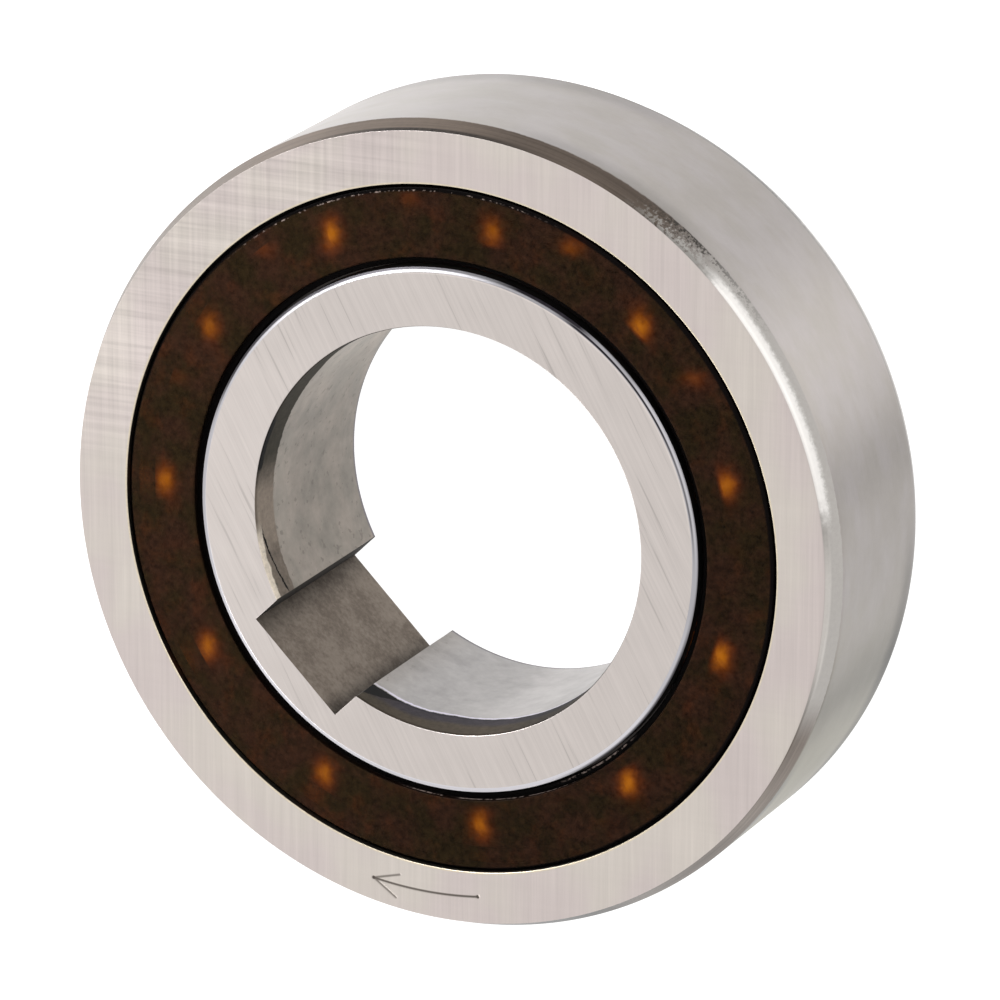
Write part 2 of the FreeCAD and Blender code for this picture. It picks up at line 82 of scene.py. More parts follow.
# A garter spring's coil and its wire, as radii. The coil lies just inside the solid's plain ring.
SPRING_COIL = 0.53
SPRING_WIRE = 0.1

# Edges beside both faces. They follow the photograph of the marked one more closely than the
# solids' edges, from which they differ by less than 0.4.
RING_EDGE = 34.09
RING_EDGE_FLOOR = 10.94
BEVEL_EDGE = 25.52
BEVEL_FLOOR = 10.75
FACE_EDGE = 20.27
BORE_LEAD = 20.19

# The bore flares a little towards its ends, through these radii and heights.
FLARE = ((BORE_LEAD, 10.8), (20.1, 9.4), (20.04, 8.2), (BORE, 7.2))

# The picture's own axes on the marked face are turned by this from the model's X and Y.
PICTURE_TURN = 134.56

# The camera, as the photograph was taken.
CAMERA_PLACE = (-47.832, -368.986, 641.65)
CAMERA_RIGHT = (-0.63718, -0.64704, -0.41872)
CAMERA_UP = (0.76805, -0.57825, -0.27519)
CAMERA_LENS = 277.6


# Surfaces.

# An eased corner takes at most the first share of a section's side, and the flat beside it starts at
# the second share at the latest.
CURVE_SHARE = 0.4
FLAT_SHARE = 0.47


def softened(corners, setback=0.05, steps=4):
    """An open chain of corners (radius, height), with each inner corner eased into a short curve.

    A corner P between A and C, which lie the setback away along its two sides, becomes the curve
    (1-t)^2 A + 2t(1-t) P + t^2 C. One more point each side, twice as far away, keeps the flats flat.
    """
    corners = np.asarray(corners, float)
    here = corners[1:-1]
    back = np.broadcast_to(setback, len(here))[:, None]

    def towards(other, times, most):
        """The point on each side that is so many setbacks from its corner."""
        span = other - here
        length = np.linalg.norm(span, axis=1, keepdims=True)
        return (here + span / length * np.minimum(times * back, most * length))[:, None]

    before, after = corners[:-2], corners[2:]
    t = np.linspace(0, 1, steps + 1)[None, :, None]
    curve = (1 - t) ** 2 * towards(before, 1, CURVE_SHARE)
    curve = curve + 2 * t * (1 - t) * here[:, None] + t**2 * towards(after, 1, CURVE_SHARE)
    start, end = towards(before, 2, FLAT_SHARE), towards(after, 2, FLAT_SHARE)
    eased = np.concatenate([start, curve, end], axis=1)
    return np.vstack([corners[:1], eased.reshape(-1, 2), corners[-1:]])


def both_sides(upper):
    """The marked side's chain, which starts on the middle plane or ends there, and its mirror image."""
    return np.vstack([upper, upper[::-1] * (1, -1)])


def groove_edge(centre, track):
    """Height of a ball groove's edge, where its arc about the centre meets the track."""
    return math.sqrt(GROOVE**2 - (track - centre) ** 2)


def groove_arc(centre, side, steps=16):
    """A ball groove's section from one edge to the other, as an arc about the centre."""
    track = OUTER_TRACK if side > 0 else INNER_TRACK
    half = math.acos(abs(track - centre) / GROOVE)
    t = np.linspace(half, -half, steps + 1)[1:-1]
    return np.stack([centre + side * GROOVE * np.cos(t), side * GROOVE * np.sin(t)], axis=1)


def even_angles(step=1.0, extra=()):
    """Angles round the axis, at even steps and at the places where more detail is wanted."""
    return np.unique(np.round(np.concatenate([np.arange(0, 360, step), *extra]), 4))


def carried_round(section, angles):
    """The section's points (radius, height) at each angle, as (angle, place, 3) coordinates.

    The section is one list for all angles, or holds one list for each angle.
    """
    turn = np.radians(angles)[:, None]
    radius, height = np.broadcast_to(section, (len(angles), *np.shape(section)[-2:])).transpose(2, 0, 1)
    return np.stack([radius * np.cos(turn), radius * np.sin(turn), height], axis=2)


def closed_skin(name, points, body, finish, replaces, crease=35.0):
    """A mesh piece over a grid of points that is joined to itself both ways. Each cell is a face."""
    rows, columns = points.shape[:2]
    row, column = np.meshgrid(np.arange(rows), np.arange(columns), indexing="ij")
    next_row, next_column = (row + 1) % rows, (column + 1) % columns
    corners = [(row, column), (next_row, column), (next_row, next_column), (row, next_column)]
    faces = np.stack([r * columns + c for r, c in corners], axis=2).reshape(-1, 4)
    mesh = bpy.data.meshes.new(name)
    mesh.from_pydata(points.reshape(-1, 3) * MM, [], faces)
    mesh.polygons.foreach_set("use_smooth", np.ones(len(faces), bool))
    mesh.set_sharp_from_angle(angle=math.radians(crease))
    mesh.update()
    piece = bpy.data.objects.new(name, mesh)
    bpy.context.scene.collection.objects.link(piece)
    mesh.materials.append(finish)
    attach(piece, body)
    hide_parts(replaces)
    return piece


def on_circle(radius, angle):
    """The point (x, y) at a radius and an angle."""
    return radius * math.cos(math.radians(angle)), radius * math.sin(math.radians(angle))


def from_stretch(x, y, start, end):
    """Distance of the points (x, y) from the straight stretch between two points."""
    ax, ay = start
    dx, dy = end[0] - ax, end[1] - ay
    along = np.clip(((x - ax) * dx + (y - ay) * dy) / (dx * dx + dy * dy), 0, 1)
    return np.hypot(x - ax - along * dx, y - ay - along * dy)


# Finishes.


def shade(red, green, blue):
    """A colour given as the 0 to 255 of a screen, as the linear values that a shader takes."""
    part = np.array([red, green, blue]) / 255
    linear = np.where(part <= 0.04045, part / 12.92, ((part + 0.055) / 1.055) ** 2.4)
    return tuple(float(v) for v in linear)


class Wire:
    """One output of a material's node. Arithmetic on wires and numbers adds the nodes that do it."""

    def __init__(self, finish, node, output=0):
        self.finish, self.node, self.output = finish, node, output

    def out(self, output):
        """Another output of the same node."""
        return Wire(self.finish, self.node, output)

    def maths(self, operation, *inputs):
        """One step of arithmetic on wires and numbers."""
        return self.finish.node("ShaderNodeMath", {"operation": operation}, inputs)

    def __add__(self, other):
        return self.maths("ADD", self, other)

    def __radd__(self, other):
        return self.maths("ADD", other, self)

    def __sub__(self, other):
        return self.maths("SUBTRACT", self, other)

    def __rsub__(self, other):
        return self.maths("SUBTRACT", other, self)

    def __mul__(self, other):
        return self.maths("MULTIPLY", self, other)

    def __rmul__(self, other):
        return self.maths("MULTIPLY", other, self)

    def __truediv__(self, other):
        return self.maths("DIVIDE", self, other)

    def __pow__(self, other):
        return self.maths("POWER", self, other)

    def __rpow__(self, other):
        return self.maths("POWER", other, self)

    def __abs__(self):
        return self.maths("ABSOLUTE", self)

    def rises(self, low, high):
        """0 below low and 1 above high, with an easy passage. The other way round if low is above."""
        if low > high:
            return 1 - self.rises(high, low)
        settings = {"interpolation_type": "SMOOTHSTEP"}
        inputs = {"Value": self, "From Min": low, "From Max": high}
        return self.finish.node("ShaderNodeMapRange", settings, inputs)

    def between(self, low, high, ease):
        """1 from low to high and 0 outside."""
        return self.rises(low - ease, low + ease) * self.rises(high + ease, high - ease)


class Finish:
    """A material in the making, with the piece's own coordinates in millimetres as wires."""

    def __init__(self, name):
        self.material = bpy.data.materials.new(name)
        self.material.use_nodes = True
        self.tree = self.material.node_tree
        self.shader = self.tree.nodes["Principled BSDF"]
        place = self.node("ShaderNodeTexCoord", output=3)
        place = self.node("ShaderNodeVectorMath", {"operation": "SCALE"}, {0: place, "Scale": 1 / MM})
        parts = self.node("ShaderNodeSeparateXYZ", None, [place])
        self.x, self.y, self.z = parts, parts.out(1), parts.out(2)
        turn = math.radians(PICTURE_TURN)
        self.across = self.x * math.cos(turn) - self.y * math.sin(turn)
        self.along = self.x * math.sin(turn) + self.y * math.cos(turn)
        self.height = abs(self.z)
        self.radius = (self.x * self.x + self.y * self.y) ** 0.5
        self.angle = self.x.maths("ARCTAN2", self.along, self.across) * math.degrees(1)

    def node(self, kind, settings=None, inputs=(), output=0):
        """Adds a node: its settings first, then a value or a wire for each input, by place or name."""
        node = self.tree.nodes.new(kind)
        for setting, wanted in (settings or {}).items():
            setattr(node, setting, wanted)
        for key, wanted in inputs.items() if isinstance(inputs, dict) else enumerate(inputs):
            if isinstance(wanted, Wire):
                self.tree.links.new(wanted.node.outputs[wanted.output], node.inputs[key])
            else:
                node.inputs[key].default_value = wanted
        return Wire(self, node, output)

    def noise_over(self, parts, detail, roughness):
        """Soft noise around 0, from -0.5 to 0.5, over three wires."""
        vector = self.node("ShaderNodeCombineXYZ", None, parts)
        inputs = {"Vector": vector, "Scale": 1.0, "Detail": detail, "Roughness": roughness}
        return self.node("ShaderNodeTexNoise", None, inputs) - 0.5

    def noise(self, across, along, through, detail=3.0, roughness=0.55, seed=0.0):
        """Noise on the picture's axes. Each number says how fine it is that way, per mm."""
        parts = (self.across * across + seed, self.along * along + seed, self.z * through + seed)
        return self.noise_over(parts, detail, roughness)

    def stretches(self, *rows):
        """The sum of stretches round the axis. A row is a stretch's start, end, ease and amount."""
        return sum(self.angle.between(start, end, ease) * amount for start, end, ease, amount in rows)

    def on_face(self):
        """1 on a ring's ground faces and 0 below them."""
        return self.height.rises(FACE - 0.045, FACE - 0.01)

    def mix(self, share, first, second):
        """One colour, and the share of a second colour over it."""
        inputs = {0: share}
        for socket, colour in ((6, first), (7, second)):
            inputs[socket] = colour if isinstance(colour, Wire) else (*colour, 1.0)
        return self.node("ShaderNodeMix", {"data_type": "RGBA"}, inputs, output=2)

    def dim(self, colour, factor):
        """A colour, brighter or darker by a factor."""
        return self.node("ShaderNodeVectorMath", {"operation": "SCALE"}, {0: colour, "Scale": factor})

    def bump(self, height, depth):
        """A normal that follows a height of -0.5 to 0.5, which stands for that depth in millimetres."""
        return self.node("ShaderNodeBump", None, {"Height": height, "Distance": depth * MM})

    def done(self, **sockets):
        """Wires or values for the shader's own sockets. Underscores stand for spaces."""
        for name, wanted in sockets.items():
            socket = self.shader.inputs[name.replace("_", " ")]
            if isinstance(wanted, Wire):
                self.tree.links.new(wanted.node.outputs[wanted.output], socket)
            else:
                socket.default_value = (*wanted, 1.0) if isinstance(wanted, tuple) else wanted
        return self.material


def cross_ground_face(f, strokes, cross, clouds):
    """The outer ring's ground face: upright strokes, crossed by level ones at the upper left, and lighter on
    the left as painted light.
    """
    fine = f.noise(8.0, 0.16, 0.3, detail=2, seed=7.3)
    hatched = f.angle.rises(85.0, 112.0) * f.angle.rises(185.0, 160.0)
    tone = 1 + strokes * (0.2 + hatched * 0.22) + fine * 0.12 + cross * (0.05 + hatched * 0.55)
    # Painted light: the face is lighter on the left.
    painted_gleam = f.angle.between(150.0, 168.0, 9.0) * 0.1
    colour = f.mix(clouds.rises(-0.12, 0.14), shade(211, 200, 197), shade(209, 201, 194))
    return f.dim(colour, tone + clouds * 0.14 + painted_gleam)


def satin_outside(f, grain, patches):
    """The outer ring's satin outside, mottled, in painted light and shade: lighter at the top and in a
    stretch on the right, darker and yellower towards the lower right, and darker towards its ends in places.
    """
    mottle = f.noise(0.16, 0.16, 0.3, detail=3, seed=5.0)
    # Painted shade: darker and yellower towards the lower right, and lighter at the top as painted light.
    lower = f.angle.rises(0.0, -36.0)
    tone = 0.87 + f.angle.rises(84.0, 108.0) * 0.11 - lower * 0.27
    # Painted light and shade in stretches on the right.
    tone = tone + f.stretches((20.0, 40.0, 9.0, 0.32), (9.0, 17.0, 4.0, -0.11), (-24.0, -14.0, 7.0, -0.28))
    # Painted shade towards the rear and front ends, in stretches round the ring.
    rear = f.angle.rises(62.0, 74.0) * 0.2 + f.angle.rises(4.0, -8.0) * 0.3
    front = f.stretches((52.0, 80.0, 5.0, 0.2), (-60.0, -30.0, 5.0, 0.35))
    tone = tone - f.z.rises(-5.5, -8.0) * rear - f.z.rises(6.0, 8.6) * front
    colour = f.mix(mottle.rises(-0.16, 0.16), shade(161, 155, 150), shade(163, 157, 155))
    colour = f.mix(lower, colour, shade(161, 155, 136))
    colour = f.dim(colour, tone + grain * 0.08 + mottle * 0.16 + patches * 0.1)
    rear_lead_in = f.z.rises(0.3 - LEAD_IN_START, 0.05 - LEAD_IN_START)
    return f.dim(colour, 1 - rear_lead_in * 0.35)


def turned_lead_in(f, level, speckle, painted_streak):
    """The outer ring's lead-ins: dark from turning, with painted light and shade round the ring, worn and
    painted lighter on the right with a painted highlight there, and pitted above that.
    """
    turned = f.noise(0.1, 0.1, 5.0, detail=3, seed=23.0)
    # Painted light and shade: the dark metal's tone and colour change round the ring, lightest towards the
    # top.
    tone = 1 + f.angle.rises(78.0, 96.0) * 0.6 + f.angle.rises(103.0, 114.0) * 0.35
    tone = tone - f.angle.rises(-58.0, -70.0) * 0.4
    dark = f.mix(f.angle.rises(0.0, -40.0), shade(82, 73, 66), shade(124, 115, 108))
    dark = f.dim(dark, tone)
    dark = f.dim(dark, 1 + speckle * 0.4 + turned - f.angle.between(-64.0, -42.0, 6.0) * 0.25)

    # Worn lighter on the right, partly as painted light, with a painted highlight by the face at the far
    # right.
    rubbed = f.angle.rises(58.0, 42.0) * f.angle.rises(-25.0, -16.0)
    edge = f.angle.between(-14.0, 5.0, 5.0) * f.height.rises(10.4, 10.9) * 0.7
    colour = f.mix(rubbed, dark, f.dim(shade(162, 158, 154), 1 + speckle * 0.3 + edge))

    pitted = f.angle.between(38.0, 58.0, 6.0)
    pits = pitted * (0.45 + f.angle.rises(42.0, 54.0) * 0.55)
    spots = speckle + (9.9 - level) * 0.12
    colour = f.mix(spots.rises(0.02, 0.12) * pits, colour, shade(52, 50, 47))
    colour = f.mix(spots.rises(-0.02, -0.14) * pitted, colour, shade(150, 147, 143))
    # A painted highlight on the worn right side.
    colour = f.mix(painted_streak, colour, f.dim(shade(226, 223, 220), 1 + speckle * 0.2))

    # Darker along the top beside the face, and painted shade along the bottom.
    rim = f.angle.between(80.0, 108.0, 10.0) * f.height.rises(10.4, 10.65) * (speckle + 0.8)
    rim = rim + f.angle.between(-90.0, -64.0, 6.0) * 0.8
    return f.mix(rim, colour, shade(24, 22, 22))


def outer_ring_finish():
    """Ground faces, a satin outside, turned lead-ins with a painted highlight, a painted highlight on the
    edge by the shield, painted shade on the inner surfaces, and dark metal in the arrow's cut.
    """
    f = Finish("ground_outer_ring")
    strokes = f.noise(2.6, 0.05, 0.3, detail=4)
    cross = f.noise(0.06, 2.0, 0.3, detail=4, seed=3.1)
    clouds = f.noise(0.11, 0.09, 0.1, detail=2, seed=11.0)
    grain = f.noise(0.5, 0.5, 7.0, detail=3, seed=2.0)
    patches = f.noise(1.1, 1.1, 1.1, detail=4, roughness=0.7, seed=17.0)
    speckle = f.noise(2.2, 2.2, 2.2, detail=4, roughness=0.75, seed=9.0)
    level = f.height + patches * 0.35
    # A painted highlight band on the lead-in at the right.
    painted_streak = (f.angle + patches * 6.0).between(10.0, 46.0, 3.0) * (level + speckle * 0.7).rises(9.8, 10.5)

    is_face = f.on_face()
    is_outer = f.radius.rises(36.0, 37.0)
    is_lead = is_outer * (1 - is_face) * level.rises(LEAD_IN_START - 0.05, LEAD_IN_START + 0.1)
    # A painted highlight: a bright line on the edge beside the shield.
    is_break = f.radius.rises(RING_EDGE + 0.21, RING_EDGE + 0.07) * f.height.rises(10.86, 10.93)
    # Painted shade on the surfaces within the clutch.
    shaded_inside = f.dim(shade(120, 115, 108), 1 + grain * 0.2)
    colour = f.mix(is_outer, shaded_inside, satin_outside(f, grain, patches))
    colour = f.mix(is_lead, colour, turned_lead_in(f, level, speckle, painted_streak))
    colour = f.mix(is_face, colour, cross_ground_face(f, strokes, cross, clouds))
    colour = f.mix(is_break, colour, f.dim(shade(224, 212, 190), 1 + speckle * 0.5))
    mark = f.node("ShaderNodeAttribute", {"attribute_name": "mark"}, output=2)
    colour = f.mix(mark * 0.72, colour, shade(92, 84, 80))
    height = strokes * is_face + cross * is_face * 0.6 + grain * 0.3 + patches * is_lead * 3.0
    return f.done(
        Base_Color=colour,
        Metallic=1.0,
        Roughness=0.36 + painted_streak * is_lead * 0.24 + speckle * is_lead * 0.2 + clouds * 0.1,
        Normal=f.bump(height, 0.004),
    )


def slant_ground_face(f, strokes, fine):
    """The inner ring's face, ground in long slanting strokes, with a few deeper scores, and painted light
    towards the left and along its outer edge on the upper right.
    """
    scores = strokes.rises(-0.14, -0.2) * 0.16
    # Painted light: lighter towards the left, and along the outer edge on the upper right.
    rim = f.radius.between(BEVEL_EDGE - 0.18, BEVEL_EDGE - 0.04, 0.05) * f.angle.between(8.0, 100.0, 8.0)
    tone = 1 + abs(f.angle).rises(110.0, 165.0) * 0.08 + rim * 0.14
    return f.dim(shade(208, 200, 196), tone + strokes * 0.22 + fine * 0.14 - scores)


def satin_bore(f, low, level, mottle, blots):
    """The bore's satin wall: blotched and specked, with painted light and shade round it, lighter at the
    top, the bottom and the far left, and a painted highlight line under the dirt at the bottom.
    """
    specks = f.noise(1.3, 1.3, 1.3, detail=2, seed=8.0).rises(0.11, 0.2)
    # Painted light and shade round the bore: lighter at the top, the lower right and the far left, and
    # darker deeper in at the far left.
    far = abs(f.angle).rises(156.0, 172.0)
    tone = 1 + f.stretches((60.0, 138.0, 12.0, 0.5), (-86.0, -62.0, 10.0, 0.25), (136.0, 156.0, 6.0, 0.15))
    tone = tone + far * (0.12 - f.z.rises(6.0, 2.0) * 0.18)
    colour = f.mix(mottle.rises(-0.15, 0.15), shade(142, 136, 128), shade(148, 140, 132))
    # Painted light: a lighter colour at the bottom.
    colour = f.mix(low, colour, shade(172, 169, 168))
    colour = f.dim(colour, tone + mottle * 0.6 + blots * 0.45)
    colour = f.mix(specks * 0.4 * (1 - low), colour, shade(90, 84, 78))
    # A painted highlight line under the dirt at the bottom.
    return f.mix(low * level.between(8.5, 8.8, 0.08) * 0.9, colour, shade(222, 218, 234))


def dirty_flare(f, low, level, wobble, blots, grime):
    """The dark band where the bore flares: dirt with painted light and shade round the ring, a crust, a dark
    wedge, a crack and a chipped edge.
    """
    left = 1 - f.angle.between(-130.0, 171.0, 6.0)
    colour = f.mix(left, shade(58, 54, 45), shade(122, 112, 102))
    colour = f.mix(low, colour, shade(68, 60, 50))
    colour = f.mix(low * level.rises(11.3, 10.2), colour, shade(53, 49, 54))
    colour = f.mix(low * level.rises(9.5, 9.1) * 0.7, colour, shade(28, 27, 38))
    colour = f.mix(f.z.rises(10.5, 10.8) * (0.75 - left * 0.3), colour, shade(44, 35, 25))
    # Painted light at the far left, and painted shade at the top and the lower right.
    flare_light = (f.angle.rises(-164.0, -170.0) + f.angle.rises(172.0, 179.5)) * 0.45
    flare_shade = f.stretches((92.0, 124.0, 8.0, 0.5), (-68.0, -20.0, 10.0, 0.55))
    colour = f.dim(colour, 1 + grime * 1.3 + blots * 0.5 + flare_light - flare_shade)

    crust = f.angle.between(154.0, 170.0, 3.0) * f.z.rises(9.9, 10.5) * (grime * 3.5 + 1.1)
    wedge = f.angle.between(-122.0, -106.0, 2.0) * (level + (f.angle + 116.0) * 0.22).rises(10.9, 10.6)
    line = (f.z + wobble * 0.7 + (f.angle + 169.0) * 0.085).between(9.7, 9.95, 0.1)
    crack = f.angle.between(-173.0, -153.0, 3.0) * line * (grime * 3.0 + 0.8)
    colour = f.mix((crust + wedge * 1.2 + crack).rises(0.1, 0.7), colour, shade(8, 7, 8))
    chipped = f.angle.between(-172.0, -148.0, 4.0) * (f.z + wobble * 0.9).rises(10.0, 10.25)
    return f.mix(chipped, colour, f.dim(shade(224, 214, 200), 1 + grime))


def milled_keyway(f, is_side):
    """The keyway: a milled floor, blotched and with painted shade towards its sides, between walls painted
    dark as shade, darkest by the floor.
    """
    milled = f.noise(2.0, 2.0, 2.0, detail=4, roughness=0.7, seed=12.0)
    broad = f.noise(0.3, 0.3, 0.3, detail=3, seed=13.0)
    # Painted shade on the floor towards both walls.
    corners = f.x.rises(-3.6, -6.2) * 0.6 + f.x.rises(2.6, 6.0) * 0.42
    floor = f.mix((milled + broad).rises(0.15, -0.25), shade(125, 115, 105), shade(112, 101, 91))
    floor = f.dim(floor, 1 + milled * 0.6 + broad * 0.5 - corners)
    # The walls are painted dark as shade, darkest towards the floor.
    wall = f.mix((f.y + f.z * 0.06).rises(20.3, 22.2), shade(50, 46, 42), shade(26, 21, 17))
    return f.mix(is_side, floor, wall)


def ground_bevel(f, grime):
    """The bevel beside the inner ring's face, in painted light and shade: a bright painted highlight, with a
    dark painted line in it on the right, a dark painted outer half round much of the ring, and painted shade
    over it in stretches.
    """
    # Painted shade: a dark line on the right, and a dark outer half in stretches round the ring.
    line = f.angle.between(4.0, 58.0, 8.0) * f.radius.between(25.56, 25.72, 0.05)
    dark = f.stretches((56.0, 86.0, 9.0, 0.65), (86.0, 158.0, 9.0, 0.9)) * f.radius.rises(25.68, 25.82)
    dark = dark + line * (0.7 + f.angle.rises(20.0, 32.0) * 0.3) + f.angle.between(52.0, 74.0, 8.0) * 0.6
    dark = dark + f.angle.between(-60.0, -14.0, 10.0) * f.radius.rises(25.7, 25.94) * 0.9
    dark = dark + f.angle.between(-10.0, 50.0, 6.0) * f.radius.rises(25.86, 25.97) * 0.5
    # Painted shade that darkens the painted highlight in stretches round the ring.
    bevel_shade = f.stretches((-34.0, -14.0, 6.0, 0.22), (-14.0, 2.0, 6.0, 0.38), (2.0, 50.0, 6.0, 0.28))
    bevel_shade = bevel_shade + f.stretches((40.0, 52.0, 4.0, 0.2), (70.0, 124.0, 8.0, 0.65))
    bevel_shade = bevel_shade + abs(f.angle).rises(112.0, 140.0) * 0.25
    # The bright colour is a painted highlight.
    colour = f.mix(dark, shade(228, 226, 232), f.dim(shade(46, 43, 48), 1 + grime * 1.4))
    return f.dim(colour, 1 - bevel_shade)


# The inner ring's face is ground in strokes that slant by this from the picture's upright.
STROKE_SLANT = 28.0


def inner_ring_finish():
    """A face ground in slanting strokes, a satin bore with a dirty flare, a milled keyway and a bevel, with
    painted light and shade on them and painted shade on the inner surfaces.
    """
    f = Finish("ground_inner_ring")
    slant = math.radians(STROKE_SLANT)
    over = f.across * math.cos(slant) + f.along * math.sin(slant)
    down = f.along * math.cos(slant) - f.across * math.sin(slant)
    strokes = f.noise_over((over * 3.4, down * 0.06, f.z * 0.2), detail=4.0, roughness=0.5)
    fine = f.noise_over((over * 10.0, down * 0.15, f.z * 0.2), detail=2.0, roughness=0.5)
    mottle = f.noise(0.28, 0.28, 0.28, detail=4, seed=4.0)
    blots = f.noise(0.8, 0.8, 0.8, detail=4, roughness=0.65, seed=31.0)
    wobble = f.noise(0.6, 0.6, 0.6, detail=4, roughness=0.75, seed=1.0)
    grime = f.noise(1.8, 1.8, 1.8, detail=4, roughness=0.7, seed=6.0)
    low = f.angle.between(-118.0, -40.0, 12.0)
    deep = abs(f.angle).rises(122.0, 140.0) + f.angle.rises(0.0, -50.0) * f.angle.rises(-140.0, -122.0)
    level = f.z + wobble * 0.7 + deep * 1.45 + f.angle.between(-98.0, -40.0, 8.0) * 0.8

    is_face = f.on_face()
    is_keyway = f.radius.rises(BORE + 0.05, BORE + 0.2) * f.y.rises(15.0, 16.0)
    is_keyway = is_keyway * abs(f.x).rises(KEYWAY_HALF + 0.06, KEYWAY_HALF + 0.02)
    is_side = f.y.rises(KEYWAY_FLOOR - 0.08, KEYWAY_FLOOR - 0.18)
    is_wall = is_keyway * is_side
    is_bore = f.radius.rises(23.6, 23.4)
    is_dirty = is_bore * (1 - is_face) * (1 - is_keyway) * level.rises(8.84, 8.98)
    is_bevel = f.radius.rises(BEVEL_EDGE - 0.03, BEVEL_EDGE + 0.01) * f.height.rises(10.6, 10.7)
    # Painted shade on the surfaces within the clutch.
    shaded_inside = f.dim(shade(80, 76, 74), 1 + fine * 0.1)
    colour = f.mix(is_bore, shaded_inside, satin_bore(f, low, level, mottle, blots))
    colour = f.mix(is_dirty, colour, dirty_flare(f, low, level, wobble, blots, grime))
    colour = f.mix(is_bore * f.z.rises(-10.4, -10.7), colour, shade(118, 114, 120))
    colour = f.mix(is_keyway, colour, milled_keyway(f, is_side))
    colour = f.mix(is_face, colour, slant_ground_face(f, strokes, fine))
    colour = f.mix(is_bevel, colour, ground_bevel(f, grime))
    height = strokes * is_face + wobble * is_bore
    return f.done(
        Base_Color=colour,
        Metallic=1.0 - is_dirty * 0.5 - is_wall * 0.7,
        Roughness=0.36 + is_bore * (1 - is_face) * 0.14 + is_dirty * 0.3 + is_wall * 0.35 + mottle * 0.1,
        Normal=f.bump(height, 0.004),
    )


def shield_finish():
    """Dark brown moulded plastic that lets a little light through, with a fine satin grain, painted shade
    towards the right and at its edges, and painted glints along the rim and the lip.
    """
    f = Finish("brown_shield_plastic")
    clouds = f.noise(0.3, 0.3, 0.3, detail=4, seed=1.0)
    red = f.noise(0.45, 0.35, 0.4, detail=4, seed=5.0)
    grain = f.noise(1.9, 1.9, 1.9, detail=3, roughness=0.6, seed=3.0)
    ripples = f.noise(0.8, 0.8, 0.8, detail=1, seed=12.0)
    dashes = f.noise(2.0, 2.0, 0.0, detail=3, seed=19.0)
    colour = f.mix(clouds.rises(-0.15, 0.15), shade(33, 24, 11), shade(42, 25, 16))
    colour = f.mix(red.rises(0.0, 0.25) * 0.4, colour, shade(62, 30, 13))
    # Painted shade: darker towards the right.
    colour = f.dim(colour, 1 + grain * 2.0 - f.across.rises(-22.0, 8.0) * 0.2)

    # Painted shade: dark at the gap by the inner edge, and towards the outer edge.
    gap = f.radius.rises(26.95, 26.82) * f.height.rises(10.74, 10.66)
    dark = gap + (f.radius + (f.across + f.along) * 0.0051).rises(33.36, 33.58)
    # Painted glints: dashes of light along the rim at the top, and on the lip at the bottom.
    rim = f.angle.between(76.0, 128.0, 8.0) * f.radius.between(33.32, 33.44, 0.04)
    step = f.radius.between(26.8, 26.9, 0.02) * f.height.between(10.2, 10.42, 0.06)
    lip = f.angle.between(-98.0, -62.0, 4.0) * step
    lip = lip + f.angle.between(-62.0, -45.0, 3.0) * f.radius.between(26.36, 26.5, 0.05)
    glint = dashes.rises(0.0, 0.14) * rim + dashes.rises(-0.06, 0.06) * lip * 1.3
    colour = f.mix(dark, colour, shade(6, 4, 4))
    colour = f.mix(glint, colour, shade(128, 114, 108))
    return f.done(
        Base_Color=colour,
        Roughness=0.5 + grain * 0.2,
        Specular_IOR_Level=0.03,
        Alpha=0.86 + dark * 0.1,
        Normal=f.bump(ripples, 0.01),
    )


# The painted glints on the cage's nubs sit this far to the picture's left of their tops, and further left
# and down for each millimetre below them.
SPOT_SHIFT = 0.87
SPOT_LEFT = 0.461
SPOT_DOWN = 0.35


def painted_glint_spot(f, blur, shift, wide, tall, lift=0.0):
    """How near a point is to the middle of the nearest painted glint, from 1 there to 0, and which it is.

    The spots stand round the cage at even steps, a shift of 0 over the balls and 0.5 between them. With
    reach the squared distance in widths and heights of a spot, the value is 0.88 e^-reach, and a wider
    0.12 e^(-0.45 reach) round it.
    """
    step = 360.0 / COUNT
    turned = f.x.maths("ARCTAN2", f.y, f.x) * math.degrees(1)
    number = f.x.maths("ROUND", (turned - CAGE_ANGLE) / step - shift)
    middle = (number + shift) * math.radians(step) + math.radians(CAGE_ANGLE)
    depth = NUB_TOP - f.z
    dx = f.x - f.x.maths("COSINE", middle) * PITCH
    dy = f.y - f.x.maths("SINE", middle) * PITCH
    turn = math.radians(PICTURE_TURN)
    side = dx * math.cos(turn) - dy * math.sin(turn) + SPOT_SHIFT + depth * SPOT_LEFT
    rise = dx * math.sin(turn) + dy * math.cos(turn) + depth * SPOT_DOWN + blur * 1.2 - lift
    side, rise = (side + blur) / wide, rise / tall
    reach = side * side + rise * rise
    return 0.88 * math.e ** (0 - reach) + 0.12 * math.e ** (reach * -0.45), number


